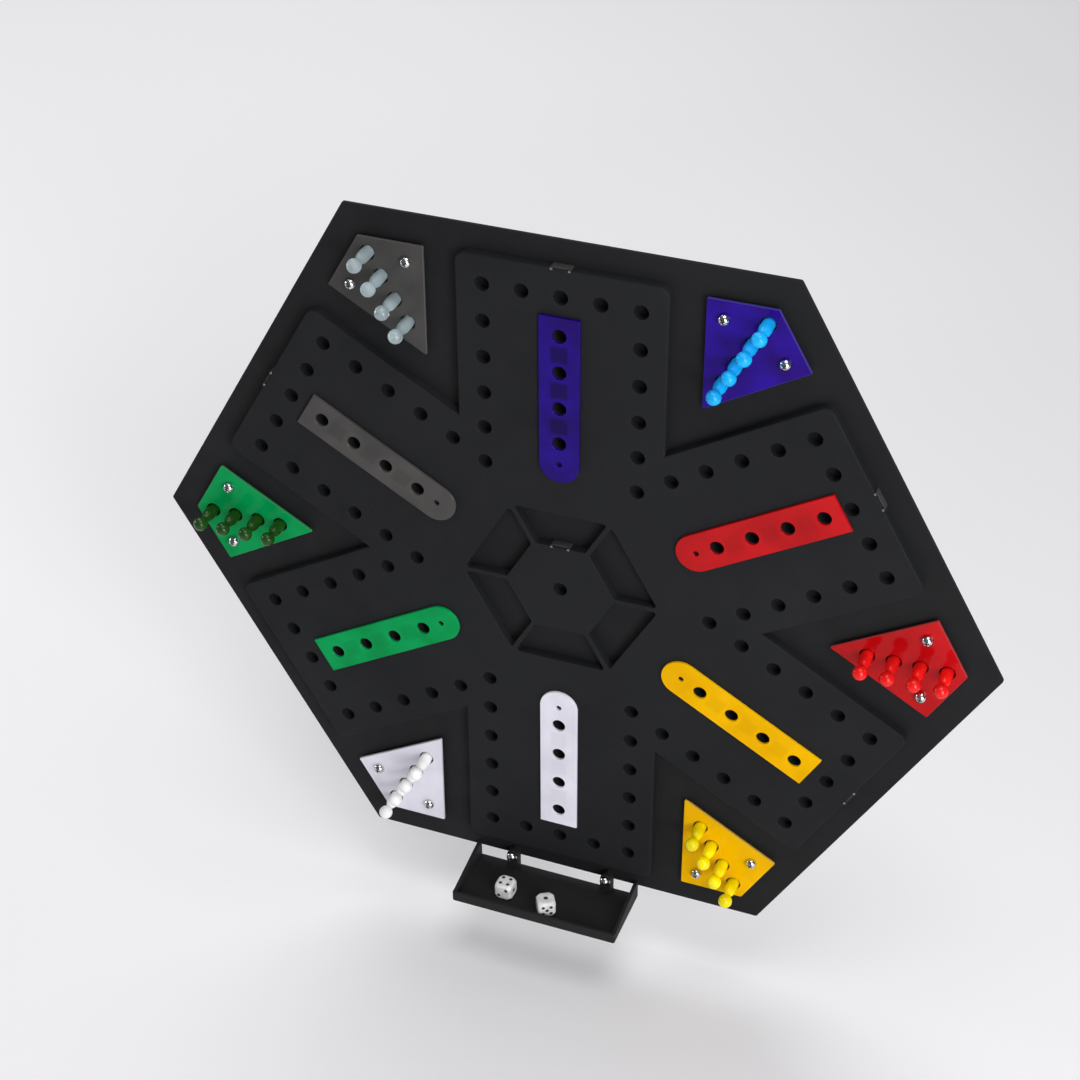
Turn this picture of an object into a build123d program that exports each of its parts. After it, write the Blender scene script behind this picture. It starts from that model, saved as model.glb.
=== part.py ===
"""Six-player peg board game: hexagonal wall board with a dice tray at its foot.

Millimetres. The origin is the centre of the base plate's back face, on the wall.
+X is to the player's right, +Z is up, and -Y points from the wall to the player.
The board's pieces are drawn flat in a board frame (x right, y up, z away from the wall),
and stand_up turns them to the wall. The tray and the dice are drawn directly in place.
"""
import os
from math import cos, pi, radians, sin, sqrt

from build123d import *

# Players, with the direction of each home strip in degrees from +X towards +Z
ARM_ANGLES = {"blue": 90, "red": 30, "yellow": -30, "white": -90, "green": -150, "grey": 150}
START_PLATE_TURN = -30  # from a player's home strip to the player's start plate

# Base plate
BASE_ARM_MARGIN = 19.48  # from the ends of the track plate's arms to the base plate's edges
BASE_THICKNESS = 3.0
BASE_CORNER_RADIUS = 2.0
BASE_EDGE_BREAK = 0.4

# Track plate and its hole grid
HOLE_PITCH = 30.0
LANES_APART = 4  # hole pitches between an arm's two outer lanes
LANE_ROWS = 6
HOME_HOLES = 4
TRACK_PEG_CLEARANCE = 0.85  # round a peg's body, on the radius
HOME_PEG_CLEARANCE = 0.65
RIM_BREAK = 0.4  # on the rims of holes and pockets
ARM_SIDE_MARGIN = 20.5  # from the outer lanes' hole centres to the arm's sides
ARM_END_MARGIN = 22.1  # from the end row's hole centres to the arm's end
ARM_CORNER_RADIUS = 8.0
TRACK_THICKNESS = 8.0
TRACK_EDGE_RADIUS = 1.2

# Six pockets around the hub
POCKET_OUTER_RADIUS = 80.0  # centre to the pocket ring's outer corners
HUB_RADIUS = 45.0  # centre to the hub's corners
RIB_WIDTH = 4.0
POCKET_CORNER_RADIUS = 2.0

# Home strips on adhesive pads
STRIP_WIDTH = 31.6
STRIP_THICKNESS = 2.0
STRIP_END_MARGIN = 15.4  # from the last home hole's centre to the strip's square end
STRIP_NOSE_CENTRE = 18.1  # from the first home hole inwards to the round nose's centre
STRIP_SMALL_HOLE = 4.5
STRIP_EDGE_BREAK = 0.3
STRIP_SHIFT = {"red": 8.8}  # this strip sits further out than the others
PAD_SIDE = 14.0
PAD_THICKNESS = 0.5

# Start plates, kites with two edges along the neighbouring arms and two along the base plate's edges.
# Each is a thin sheet on a spacer that is set back under it
START_ARM_GAP = 25.6
START_BASE_MARGIN = 22.13
START_THICKNESS = 2.0
SPACER_THICKNESS = 3.0
SPACER_INSET = 2.0  # from the sheet's edges to the spacer's
START_CORNER_RADIUS = 1.0
START_EDGE_BREAK = 0.4
START_ROW_INSET = 18.8  # from the line of the kite's side corners inwards to the middle of its row of pegs
START_PEG_PITCH = 20.0
START_PEGS = 4
START_PEG_CLEARANCE = 1.15  # round a peg's body, on the radius
START_SCREW_INSET = 5.8  # from the line of the side corners inwards to the screws
START_SCREW_MARGIN = 18.6  # from each side corner towards the kite's middle

# Pegs
PEG_BODY_DIAMETER = 9.7
PEG_END_ROUND = 1.0
PEG_STRAIGHT = 11.5
PEG_NECK_DIAMETER = 5.4
PEG_NECK_START = 20.0
PEG_SHOULDER_PULL = 5.0  # how far the body's curve follows its straight side
PEG_NECK_PULL = 2.0  # how far it follows the neck
PEG_HEAD_DIAMETER = 11.2
PEG_HEAD_CENTRE = 26.6

# Screws, all alike but for their length
SCREW_SHANK_DIAMETER = 3.0
SCREW_HEAD_DIAMETER = 9.0
SCREW_HEAD_HEIGHT = 5.3
SCREW_HEAD_RIM = 1.6
SCREW_RECESS_LENGTH = 4.6
SCREW_RECESS_WIDTH = 1.1
SCREW_RECESS_DEPTH = 1.3
SCREW_RECESS_TURN = 25.0  # between one tightened screw's recess and the next one's
SCREW_HOLE_CLEARANCE = 0.2  # on the radius, in the plates that a screw clamps
SCREW_THREAD_CLEARANCE = 0.05  # on the radius, in the base plate
SCREW_END_RECESS = 0.4  # from the shank's end to the base plate's back

# Edge clips
CLIPPED_ARMS = ("blue", "red", "yellow", "grey")
CLIP_WIDTH = 15.6
CLIP_THICKNESS = 1.2
CLIP_DROP = 1.4  # from the track plate's top down to the clip's plate
CLIP_PRONG_WIDTH = 2.0
CLIP_PRONG_LENGTH = 0.8  # how far a prong hooks in over the edge
CLIP_PRONG_HEIGHT = 0.6

# Dice tray
TRAY_WIDTH = 144.4
TRAY_DEPTH = 59.6
TRAY_CENTRE_X = -4.7
TRAY_DROP = 12.3  # from the base plate's lower edge to the tray's underside
TRAY_WALL = 3.0
TRAY_FLOOR = 1.5
TRAY_REAR_HEIGHT = 17.5
TRAY_LIP_HEIGHT = 8.75
TRAY_CORNER_RADIUS = 2.0
TRAY_HOLLOW_RADIUS = 1.0
TRAY_LIP_FLAT = 1.5  # how far past the hollow's front corners the walls stay as low as the lip
TRAY_EDGE_BREAK = 0.5
EAR_WIDTH = 9.4
EAR_THICKNESS = 8.0
EAR_ARM_GAP = 10.0  # from the ears' tops to the lowest arm's end
EAR_MIDDLE_X = -0.8
EAR_SCREW_OFFSET = 42.0  # from the middle between the ears to each one's screw
EAR_SCREW_RISE = 3.8  # from the base plate's lower edge to the ear screws

# Dice
DIE_SIDE = 15.0
DIE_EDGE_ROUND = 2.2
DIE_CORNER_TRIM = 1.08  # what a ball takes off the rounded corners
DIE_PIP_DIAMETER = 2.9
DIE_ONE_PIP_DIAMETER = 3.7  # the single pip of the face with one
DIE_PIP_DEPTH = 0.6
DIE_PIP_OFFSET = 3.3
DIE_PLACES = {
    "die_1": {"from_middle": -31.8, "lip_gap": 10.0, "turn": -2.0},
    "die_2": {"from_middle": 6.9, "lip_gap": 0.45, "turn": 30.0},
}
REST_GAP = 0.2  # under a loose piece

# Keyhole slots in the back, for two wall screws
HANGER_OFFSET = 112.0
HANGER_ENTRY_HEIGHT = 97.0
HANGER_ENTRY_DIAMETER = 10.0
HANGER_SLOT_WIDTH = 5.0
HANGER_RISE = 10.0
HANGER_POCKET_DEPTH = 4.0
HANGER_POCKET_MARGIN = 1.5

# Worked-out sizes. A reach is a distance from the board's centre
TRACK_HOLE_DIAMETER = PEG_BODY_DIAMETER + 2 * TRACK_PEG_CLEARANCE
HOME_HOLE_DIAMETER = PEG_BODY_DIAMETER + 2 * HOME_PEG_CLEARANCE
START_HOLE_DIAMETER = PEG_BODY_DIAMETER + 2 * START_PEG_CLEARANCE
LANE_OFFSET = LANES_APART * HOLE_PITCH / 2
FIRST_ROW = LANE_OFFSET * sqrt(3)
LAST_ROW = FIRST_ROW + (LANE_ROWS - 1) * HOLE_PITCH
ARM_WIDTH = 2 * (LANE_OFFSET + ARM_SIDE_MARGIN)
ARM_REACH = LAST_ROW + ARM_END_MARGIN
NOTCH_REACH = ARM_WIDTH
BASE_APOTHEM = ARM_REACH + BASE_ARM_MARGIN
START_INNER_REACH = NOTCH_REACH + 2 * START_ARM_GAP
START_OUTER_REACH = 2 * (BASE_APOTHEM - START_BASE_MARGIN) / sqrt(3)
START_HALF_WIDTH = (START_OUTER_REACH - START_INNER_REACH) * sqrt(3) / 4
START_SIDE_REACH = START_INNER_REACH + START_HALF_WIDTH * sqrt(3)
TRACK_TOP = BASE_THICKNESS + TRACK_THICKNESS
STRIP_BOTTOM = TRACK_TOP + PAD_THICKNESS
START_BOTTOM = BASE_THICKNESS + SPACER_THICKNESS
START_TOP = START_BOTTOM + START_THICKNESS
HUB_APOTHEM = HUB_RADIUS * sqrt(3) / 2
TRAY_REAR_Y = -BASE_THICKNESS
TRAY_FRONT_Y = TRAY_REAR_Y - TRAY_DEPTH
TRAY_BOTTOM = -BASE_APOTHEM - TRAY_DROP
EAR_SCREW_HEIGHT = EAR_SCREW_RISE - BASE_APOTHEM


def stand_up(piece):
    """Turn a piece from the board frame to its place on the wall."""
    return Plane(origin=(0, 0, 0), x_dir=(1, 0, 0), z_dir=(0, -1, 0)).location * piece


def place(angle, along, sideways=0.0):
    """A point of the board, along a direction and then to its left."""
    turn = radians(angle)
    return (along * cos(turn) - sideways * sin(turn), along * sin(turn) + sideways * cos(turn))


def raised(sketch, bottom, thickness):
    """A flat piece of the given outline, from the height of its underside."""
    return Pos(0, 0, bottom) * extrude(sketch, thickness)


def outer_vertices(sketch, radius):
    """The corners that lie further out than a radius."""
    return [vertex for vertex in sketch.vertices() if flat_radius(vertex) > radius]


def discs(points, diameter):
    """Round holes of one size, as a sketch."""
    return Sketch() + [Pos(x, y) * Circle(diameter / 2) for x, y in points]


def track_hole_points():
    """The path around the six arms."""
    points = []
    for angle in ARM_ANGLES.values():
        points.append(place(angle, FIRST_ROW, LANE_OFFSET))
        for row in range(1, LANE_ROWS):
            for side in (-1, 1):
                points.append(place(angle, FIRST_ROW + row * HOLE_PITCH, side * LANE_OFFSET))
        for lane in range(1, LANES_APART):
            points.append(place(angle, LAST_ROW, lane * HOLE_PITCH - LANE_OFFSET))
    return points


def home_hole_reach(colour):
    """Distances of a player's home holes from the board's centre."""
    shift = STRIP_SHIFT.get(colour, 0.0)
    return [FIRST_ROW + shift + row * HOLE_PITCH for row in range(1, HOME_HOLES + 1)]


def ear_screw_points():
    return [(EAR_MIDDLE_X + side * EAR_SCREW_OFFSET, EAR_SCREW_HEIGHT) for side in (-1, 1)]


def start_screw_points(angle):
    """Places of the two screws of one start plate."""
    along = START_SIDE_REACH - START_SCREW_INSET
    offset = START_HALF_WIDTH - START_SCREW_MARGIN
    return [place(angle, along, side * offset) for side in (-1, 1)]


def hanger_slot(head_diameter, shank_width):
    """A keyhole, or with equal sizes a plain slot, on both sides of the board."""
    slots = Sketch()
    for side in (-1, 1):
        x = side * HANGER_OFFSET
        slots += Pos(x, HANGER_ENTRY_HEIGHT) * Circle(head_diameter / 2)
        slots += Pos(x, HANGER_ENTRY_HEIGHT + HANGER_RISE / 2) * Rectangle(shank_width, HANGER_RISE)
        slots += Pos(x, HANGER_ENTRY_HEIGHT + HANGER_RISE) * Circle(shank_width / 2)
    return slots


def make_base_plate():
    outline = RegularPolygon(BASE_APOTHEM, 6, major_radius=False)
    outline = fillet(outline.vertices(), BASE_CORNER_RADIUS)
    plate = raised(outline, 0, BASE_THICKNESS)
    rims = [*plate.faces().sort_by(Axis.Z)[-1].edges(), *plate.faces().sort_by(Axis.Z)[0].edges()]
    plate = chamfer(rims, BASE_EDGE_BREAK)
    screw_points = ear_screw_points()
    for angle in ARM_ANGLES.values():
        screw_points += start_screw_points(angle + START_PLATE_TURN)
    threads = discs(screw_points, SCREW_SHANK_DIAMETER + 2 * SCREW_THREAD_CLEARANCE)
    hangers = hanger_slot(HANGER_ENTRY_DIAMETER, HANGER_SLOT_WIDTH)
    return plate - raised(threads + hangers, 0, BASE_THICKNESS)


def pocket_sketch():
    """Six trapezoids between the hub and the pocket ring, parted by ribs."""
    ring = RegularPolygon(POCKET_OUTER_RADIUS, 6) - RegularPolygon(HUB_RADIUS, 6)
    for turn in (0, 60, 120):
        ring -= Rot(0, 0, turn) * Rectangle(2 * POCKET_OUTER_RADIUS + RIB_WIDTH, RIB_WIDTH)
    return fillet(ring.vertices(), POCKET_CORNER_RADIUS)


def make_track_plate():
    outline = Sketch()
    for turn in (30, 90, 150):
        outline += Rot(0, 0, turn) * Rectangle(2 * ARM_REACH, ARM_WIDTH)
    outline = fillet(outer_vertices(outline, (NOTCH_REACH + ARM_REACH) / 2), ARM_CORNER_RADIUS)
    plate = raised(outline, BASE_THICKNESS, TRACK_THICKNESS)
    plate = fillet(plate.faces().sort_by(Axis.Z)[-1].edges(), TRACK_EDGE_RADIUS)
    holes = discs([(0, 0)] + track_hole_points(), TRACK_HOLE_DIAMETER)
    for colour, angle in ARM_ANGLES.items():
        holes += discs([place(angle, reach) for reach in home_hole_reach(colour)], HOME_HOLE_DIAMETER)
    plate -= raised(holes + pocket_sketch(), BASE_THICKNESS, TRACK_THICKNESS)
    plate = chamfer(track_rims(plate), RIM_BREAK)
    pocket_width = HANGER_ENTRY_DIAMETER + 2 * HANGER_POCKET_MARGIN
    hanger_pockets = hanger_slot(pocket_width, pocket_width)
    return plate - raised(hanger_pockets, BASE_THICKNESS, HANGER_POCKET_DEPTH)


def track_rims(plate):
    """The rims of the track plate's holes and pockets, without its outline."""
    rims = plate.edges().filter_by_position(Axis.Z, TRACK_TOP, TRACK_TOP)
    holes = rims.filter_by(GeomType.CIRCLE).filter_by(is_whole_circle)
    pockets = [
        edge for edge in rims
        if flat_radius(edge.center()) < POCKET_OUTER_RADIUS and edge not in holes
    ]
    return [*holes, *pockets]


def is_whole_circle(edge):
    return edge.is_closed


def flat_radius(point):
    """Distance from the board's centre, seen from the front."""
    return sqrt(point.X ** 2 + point.Y ** 2)


def make_home_strip(colour):
    reach = home_hole_reach(colour)
    nose_centre = reach[0] - STRIP_NOSE_CENTRE
    square_end = reach[-1] + STRIP_END_MARGIN
    outline = Pos((nose_centre + square_end) / 2, 0) * Rectangle(square_end - nose_centre, STRIP_WIDTH)
    outline += Pos(nose_centre, 0) * Circle(STRIP_WIDTH / 2)
    outline -= discs([(along, 0) for along in reach], HOME_HOLE_DIAMETER)
    outline -= discs([(nose_centre, 0)], STRIP_SMALL_HOLE)
    strip = raised(outline, STRIP_BOTTOM, STRIP_THICKNESS)
    strip = chamfer(strip.faces().sort_by(Axis.Z)[-1].edges(), STRIP_EDGE_BREAK)
    return Rot(0, 0, ARM_ANGLES[colour]) * strip


def make_strip_pads():
    pads = []
    for colour, angle in ARM_ANGLES.items():
        for reach in home_hole_reach(colour)[:-1]:
            pad = Pos(reach + HOLE_PITCH / 2, 0) * Rectangle(PAD_SIDE, PAD_SIDE)
            pads.append(Rot(0, 0, angle) * raised(pad, TRACK_TOP, PAD_THICKNESS))
    return pads


def start_outline(inset):
    """A start plate's kite along +X, with its edges moved inwards."""
    inner_reach = START_INNER_REACH + 2 * inset
    outer_reach = START_OUTER_REACH - 2 * inset / sqrt(3)
    half_width = (outer_reach - inner_reach) * sqrt(3) / 4
    side_reach = inner_reach + half_width * sqrt(3)
    outline = make_face(Polyline(
        (inner_reach, 0), (side_reach, -half_width), (outer_reach, 0), (side_reach, half_width),
        close=True,
    ))
    outline = fillet(outline.vertices(), START_CORNER_RADIUS)
    outline -= discs([(along, 0) for along in start_peg_reach()], START_HOLE_DIAMETER)
    return outline - discs(start_screw_points(0), SCREW_SHANK_DIAMETER + 2 * SCREW_HOLE_CLEARANCE)


def make_start_spacer(colour):
    spacer = raised(start_outline(SPACER_INSET), BASE_THICKNESS, SPACER_THICKNESS)
    return Rot(0, 0, ARM_ANGLES[colour] + START_PLATE_TURN) * spacer


def make_start_plate(colour):
    plate = raised(start_outline(0), START_BOTTOM, START_THICKNESS)
    rims = plate.edges().filter_by_position(Axis.Z, START_TOP, START_TOP)
    screw_rim = pi * SCREW_HEAD_DIAMETER
    plate = chamfer([edge for edge in rims if edge.length > screw_rim or not is_whole_circle(edge)],
                    START_EDGE_BREAK)
    return Rot(0, 0, ARM_ANGLES[colour] + START_PLATE_TURN) * plate


def start_peg_reach():
    """Distances of a start plate's peg holes from the board's centre."""
    middle = START_SIDE_REACH - START_ROW_INSET
    return [middle + START_PEG_PITCH * (row - (START_PEGS - 1) / 2) for row in range(START_PEGS)]


def make_screw(point, seat, turn):
    """A domed cross-recess screw, its head on a seat at a height above the wall."""
    length = seat - SCREW_END_RECESS
    half_head = SCREW_HEAD_DIAMETER / 2
    half_shank = SCREW_SHANK_DIAMETER / 2
    dome_rise = SCREW_HEAD_HEIGHT - SCREW_HEAD_RIM
    ball_radius = (half_head ** 2 + dome_rise ** 2) / (2 * dome_rise)
    ball_centre = SCREW_HEAD_HEIGHT - ball_radius
    half_way = half_head / 2
    profile = Polyline(
        (0, SCREW_HEAD_HEIGHT), (0, -length), (half_shank, -length), (half_shank, 0),
        (half_head, 0), (half_head, SCREW_HEAD_RIM),
    )
    profile += ThreePointArc(
        (half_head, SCREW_HEAD_RIM),
        (half_way, ball_centre + sqrt(ball_radius ** 2 - half_way ** 2)),
        (0, SCREW_HEAD_HEIGHT),
    )
    screw = revolve(Plane.XZ * make_face(profile), Axis.Z)
    for quarter in (0, 90):
        slot = Box(SCREW_RECESS_LENGTH, SCREW_RECESS_WIDTH, SCREW_RECESS_DEPTH)
        screw -= Pos(0, 0, SCREW_HEAD_HEIGHT - SCREW_RECESS_DEPTH / 2) * Rot(0, 0, quarter) * slot
    return Pos(point[0], point[1], seat) * Rot(0, 0, turn) * screw


def make_start_plate_screws(colour):
    """The two screws of a start plate, each tightened to another angle."""
    first = 2 * list(ARM_ANGLES).index(colour) + 1
    points = start_screw_points(ARM_ANGLES[colour] + START_PLATE_TURN)
    return [
        make_screw(point, START_TOP, (first + count) * SCREW_RECESS_TURN)
        for count, point in enumerate(points)
    ]


def make_tray_screws():
    seat = BASE_THICKNESS + EAR_THICKNESS
    return [
        make_screw(point, seat, turn)
        for point, turn in zip(ear_screw_points(), (-SCREW_RECESS_TURN, SCREW_RECESS_TURN))
    ]


def make_edge_clip(angle, wall_reach):
    """A sheet clip on a wall at a distance from the centre, hooked over the plate's top."""
    corner = (Align.MIN, Align.CENTER, Align.MIN)
    plate_height = TRACK_THICKNESS - CLIP_DROP
    clip = Pos(wall_reach, 0, BASE_THICKNESS) * Box(CLIP_THICKNESS, CLIP_WIDTH, plate_height, align=corner)
    for side in (-1, 1):
        lateral = side * (CLIP_WIDTH - CLIP_PRONG_WIDTH) / 2
        leg = Box(CLIP_THICKNESS, CLIP_PRONG_WIDTH, CLIP_DROP + CLIP_PRONG_HEIGHT, align=corner)
        clip += Pos(wall_reach, lateral, TRACK_TOP - CLIP_DROP) * leg
        hook = Box(CLIP_PRONG_LENGTH + CLIP_THICKNESS, CLIP_PRONG_WIDTH, CLIP_PRONG_HEIGHT, align=corner)
        clip += Pos(wall_reach - CLIP_PRONG_LENGTH, lateral, TRACK_TOP) * hook
    return Rot(0, 0, angle) * clip


def make_edge_clips():
    """The clips on the ends of four arms and on the hub's upper wall."""
    clips = [make_edge_clip(ARM_ANGLES[colour], ARM_REACH) for colour in CLIPPED_ARMS]
    clips.append(make_edge_clip(ARM_ANGLES["blue"], HUB_APOTHEM))
    return clips


def make_peg(colour, number):
    """A pawn with a round head, standing in a start plate's hole."""
    half_body = PEG_BODY_DIAMETER / 2
    half_neck = PEG_NECK_DIAMETER / 2
    half_head = PEG_HEAD_DIAMETER / 2
    head_start = PEG_HEAD_CENTRE - sqrt(half_head ** 2 - half_neck ** 2)
    outline = Polyline((0, PEG_HEAD_CENTRE + half_head), (0, 0), (half_body - PEG_END_ROUND, 0))
    outline += RadiusArc((half_body - PEG_END_ROUND, 0), (half_body, PEG_END_ROUND), -PEG_END_ROUND)
    outline += Line((half_body, PEG_END_ROUND), (half_body, PEG_STRAIGHT))
    outline += Bezier(
        (half_body, PEG_STRAIGHT), (half_body, PEG_STRAIGHT + PEG_SHOULDER_PULL),
        (half_neck, PEG_NECK_START - PEG_NECK_PULL), (half_neck, PEG_NECK_START),
    )
    outline += Line((half_neck, PEG_NECK_START), (half_neck, head_start))
    outline += ThreePointArc(
        (half_neck, head_start), (half_head, PEG_HEAD_CENTRE), (0, PEG_HEAD_CENTRE + half_head))
    peg = revolve(Plane.XZ * make_face(outline), Axis.Z)
    x, y = place(ARM_ANGLES[colour] + START_PLATE_TURN, start_peg_reach()[number - 1])
    return Pos(x, y, BASE_THICKNESS + REST_GAP) * peg


def make_dice_tray():
    floor_plane = Pos(TRAY_CENTRE_X, (TRAY_REAR_Y + TRAY_FRONT_Y) / 2, TRAY_BOTTOM)
    outline = Rectangle(TRAY_WIDTH, TRAY_DEPTH)
    outline = fillet(outline.vertices().group_by(Axis.Y)[0], TRAY_CORNER_RADIUS)
    tray = floor_plane * extrude(outline, TRAY_REAR_HEIGHT)
    # The walls step down from the rear to the lip
    fold_y = TRAY_FRONT_Y + TRAY_WALL + TRAY_HOLLOW_RADIUS + TRAY_LIP_FLAT
    slope = make_face(Polyline(
        (TRAY_REAR_Y, TRAY_BOTTOM + TRAY_REAR_HEIGHT),
        (fold_y, TRAY_BOTTOM + TRAY_LIP_HEIGHT),
        (TRAY_FRONT_Y, TRAY_BOTTOM + TRAY_LIP_HEIGHT),
        (TRAY_FRONT_Y, TRAY_BOTTOM + TRAY_REAR_HEIGHT),
        close=True,
    ))
    across = Pos(TRAY_CENTRE_X - TRAY_WIDTH / 2, 0, 0) * Plane.YZ.location
    tray -= across * extrude(slope, TRAY_WIDTH)
    hollow = Rectangle(TRAY_WIDTH - 2 * TRAY_WALL, TRAY_DEPTH)
    hollow = fillet(hollow.vertices().group_by(Axis.Y)[0], TRAY_HOLLOW_RADIUS)
    tray -= floor_plane * Pos(0, TRAY_WALL, TRAY_FLOOR) * extrude(hollow, TRAY_REAR_HEIGHT)
    tray = chamfer(tray_rims(tray), TRAY_EDGE_BREAK)
    ear_round = EAR_WIDTH / 2
    ear_top = -ARM_REACH - EAR_ARM_GAP
    ear_straight = ear_top - ear_round - TRAY_BOTTOM
    ears = Sketch()
    for x, _ in ear_screw_points():
        ears += Pos(x, TRAY_BOTTOM + ear_straight / 2) * Rectangle(EAR_WIDTH, ear_straight)
        ears += Pos(x, ear_top - ear_round) * Circle(ear_round)
    ears -= discs(ear_screw_points(), SCREW_SHANK_DIAMETER + 2 * SCREW_HOLE_CLEARANCE)
    return tray + stand_up(raised(ears, BASE_THICKNESS, EAR_THICKNESS))


def tray_rims(tray):
    """The edges along the tops of the tray's walls and lip."""
    tops = [
        face for face in tray.faces()
        if face.normal_at().Z > 0.5 and face.center().Z > TRAY_BOTTOM + TRAY_FLOOR + TRAY_WALL
    ]
    return [edge for face in tops for edge in face.edges()]


PIP_PATTERNS = {
    "one": [(0, 0)],
    "two": [(-1, -1), (1, 1)],
    "three": [(-1, -1), (0, 0), (1, 1)],
    "four": [(-1, -1), (-1, 1), (1, -1), (1, 1)],
    "five": [(-1, -1), (-1, 1), (1, -1), (1, 1), (0, 0)],
    "six": [(-1, -1), (-1, 0), (-1, 1), (1, -1), (1, 0), (1, 1)],
}
DIE_FACES = {
    "die_1": {
        "top": "four", "bottom": "three", "front": "two", "back": "five", "right": "one", "left": "six",
    },
    "die_2": {
        "top": "one", "bottom": "six", "front": "five", "back": "two", "right": "four", "left": "three",
    },
}
FACE_TURNS = {
    "top": Rot(0, 0, 0),
    "bottom": Rot(180, 0, 0),
    "front": Rot(90, 0, 0),
    "back": Rot(-90, 0, 0),
    "right": Rot(0, 90, 0),
    "left": Rot(0, -90, 0),
}


def make_die(name):
    """A cube with rounded edges and hollow pips, lying on the tray's floor."""
    half_side = DIE_SIDE / 2
    die = fillet(Box(DIE_SIDE, DIE_SIDE, DIE_SIDE).edges(), DIE_EDGE_ROUND)
    die &= Sphere((half_side - DIE_EDGE_ROUND) * sqrt(3) + DIE_EDGE_ROUND - DIE_CORNER_TRIM)
    for side, number in DIE_FACES[name].items():
        half_pip = (DIE_ONE_PIP_DIAMETER if number == "one" else DIE_PIP_DIAMETER) / 2
        ball_radius = (half_pip ** 2 + DIE_PIP_DEPTH ** 2) / (2 * DIE_PIP_DEPTH)
        ball_height = half_side + ball_radius - DIE_PIP_DEPTH
        for column, row in PIP_PATTERNS[number]:
            pip = Pos(column * DIE_PIP_OFFSET, row * DIE_PIP_OFFSET, ball_height) * Sphere(ball_radius)
            die -= FACE_TURNS[side] * pip
    spot = DIE_PLACES[name]
    turn = radians(spot["turn"])
    half_turned = half_side * (abs(cos(turn)) + abs(sin(turn)))
    x = TRAY_CENTRE_X + spot["from_middle"]
    y = TRAY_FRONT_Y + TRAY_WALL + spot["lip_gap"] + half_turned
    z = TRAY_BOTTOM + TRAY_FLOOR + REST_GAP + half_side
    return Pos(x, y, z) * Rot(0, 0, spot["turn"]) * die


def board_pieces():
    """The pieces that are drawn in the board frame, by name."""
    pieces = {
        "base_plate": make_base_plate(),
        "track_plate": make_track_plate(),
        "strip_pads": Compound(children=make_strip_pads()),
        "tray_screws": Compound(children=make_tray_screws()),
        "edge_clips": Compound(children=make_edge_clips()),
    }
    for colour in ARM_ANGLES:
        pieces[f"home_strip_{colour}"] = make_home_strip(colour)
        pieces[f"start_spacer_{colour}"] = make_start_spacer(colour)
        pieces[f"start_plate_{colour}"] = make_start_plate(colour)
        pieces[f"start_screws_{colour}"] = Compound(children=make_start_plate_screws(colour))
        for number in range(1, START_PEGS + 1):
            pieces[f"peg_{colour}_{number}"] = make_peg(colour, number)
    return pieces


def all_pieces():
    pieces = {name: stand_up(piece) for name, piece in board_pieces().items()}
    pieces["dice_tray"] = make_dice_tray()
    for name in DIE_PLACES:
        pieces[name] = make_die(name)
    return pieces


os.makedirs("parts", exist_ok=True)
for name, piece in all_pieces().items():
    export_step(piece, f"parts/{name}.step")
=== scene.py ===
"""Looks of the six-player peg board: finishes, pegs, clips, screws, dice, light and camera. Metres."""
import math

import bmesh
import bpy
from mathutils import Matrix, Vector


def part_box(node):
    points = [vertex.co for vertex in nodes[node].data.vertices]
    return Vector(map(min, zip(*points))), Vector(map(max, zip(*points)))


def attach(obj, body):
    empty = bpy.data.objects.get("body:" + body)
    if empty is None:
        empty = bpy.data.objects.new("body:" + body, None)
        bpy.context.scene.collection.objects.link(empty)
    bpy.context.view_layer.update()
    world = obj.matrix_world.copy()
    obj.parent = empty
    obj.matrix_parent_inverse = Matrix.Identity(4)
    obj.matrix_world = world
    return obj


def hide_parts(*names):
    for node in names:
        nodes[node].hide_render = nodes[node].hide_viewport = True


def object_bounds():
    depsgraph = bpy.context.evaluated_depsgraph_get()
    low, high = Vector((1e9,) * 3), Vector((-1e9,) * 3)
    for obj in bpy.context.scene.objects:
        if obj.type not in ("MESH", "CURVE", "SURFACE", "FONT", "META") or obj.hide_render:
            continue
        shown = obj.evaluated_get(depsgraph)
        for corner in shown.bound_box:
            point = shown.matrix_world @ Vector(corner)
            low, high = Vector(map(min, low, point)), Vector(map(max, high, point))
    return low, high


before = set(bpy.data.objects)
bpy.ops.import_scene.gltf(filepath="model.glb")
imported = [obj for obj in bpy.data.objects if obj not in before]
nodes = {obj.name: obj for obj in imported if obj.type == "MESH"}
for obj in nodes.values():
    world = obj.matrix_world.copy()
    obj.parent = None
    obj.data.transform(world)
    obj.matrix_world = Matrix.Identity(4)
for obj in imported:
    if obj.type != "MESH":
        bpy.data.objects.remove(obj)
cad_low, cad_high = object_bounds()
MM = 0.001

# Players, with the direction of each home strip in degrees from +X towards +Z
ARM_ANGLES = {"blue": 90, "red": 30, "yellow": -30, "white": -90, "green": -150, "grey": 150}
PEGS_EACH = 4

# The pitch of the board's holes, and distances from its centre
HOLE_PITCH = 30.0 * MM
FIRST_HOME_HOLE = 133.92 * MM
HUB_APOTHEM = 38.97 * MM

# Pads under the home strips. The red strip's pads lie further out than the others.
PADS_EACH = 3
PAD_HALF = 7.0 * MM
RED_SHIFT = 8.8 * MM

# Pegs, with heights from the foot, and the pulls of the curve from the body to the neck
PEG_RADIUS = 4.85 * MM
PEG_FOOT_ROUNDING = 1.0 * MM
PEG_BODY_TOP = 11.5 * MM
PEG_BODY_PULL = 5.0 * MM
PEG_NECK_RADIUS = 2.7 * MM
PEG_NECK_HEIGHT = 20.0 * MM
PEG_NECK_PULL = 2.0 * MM
PEG_SIDES = 48
PEG_FOOT_STEPS = 6
PEG_SHOULDER_STEPS = 20
PEG_HEAD_STEPS = 28

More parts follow.
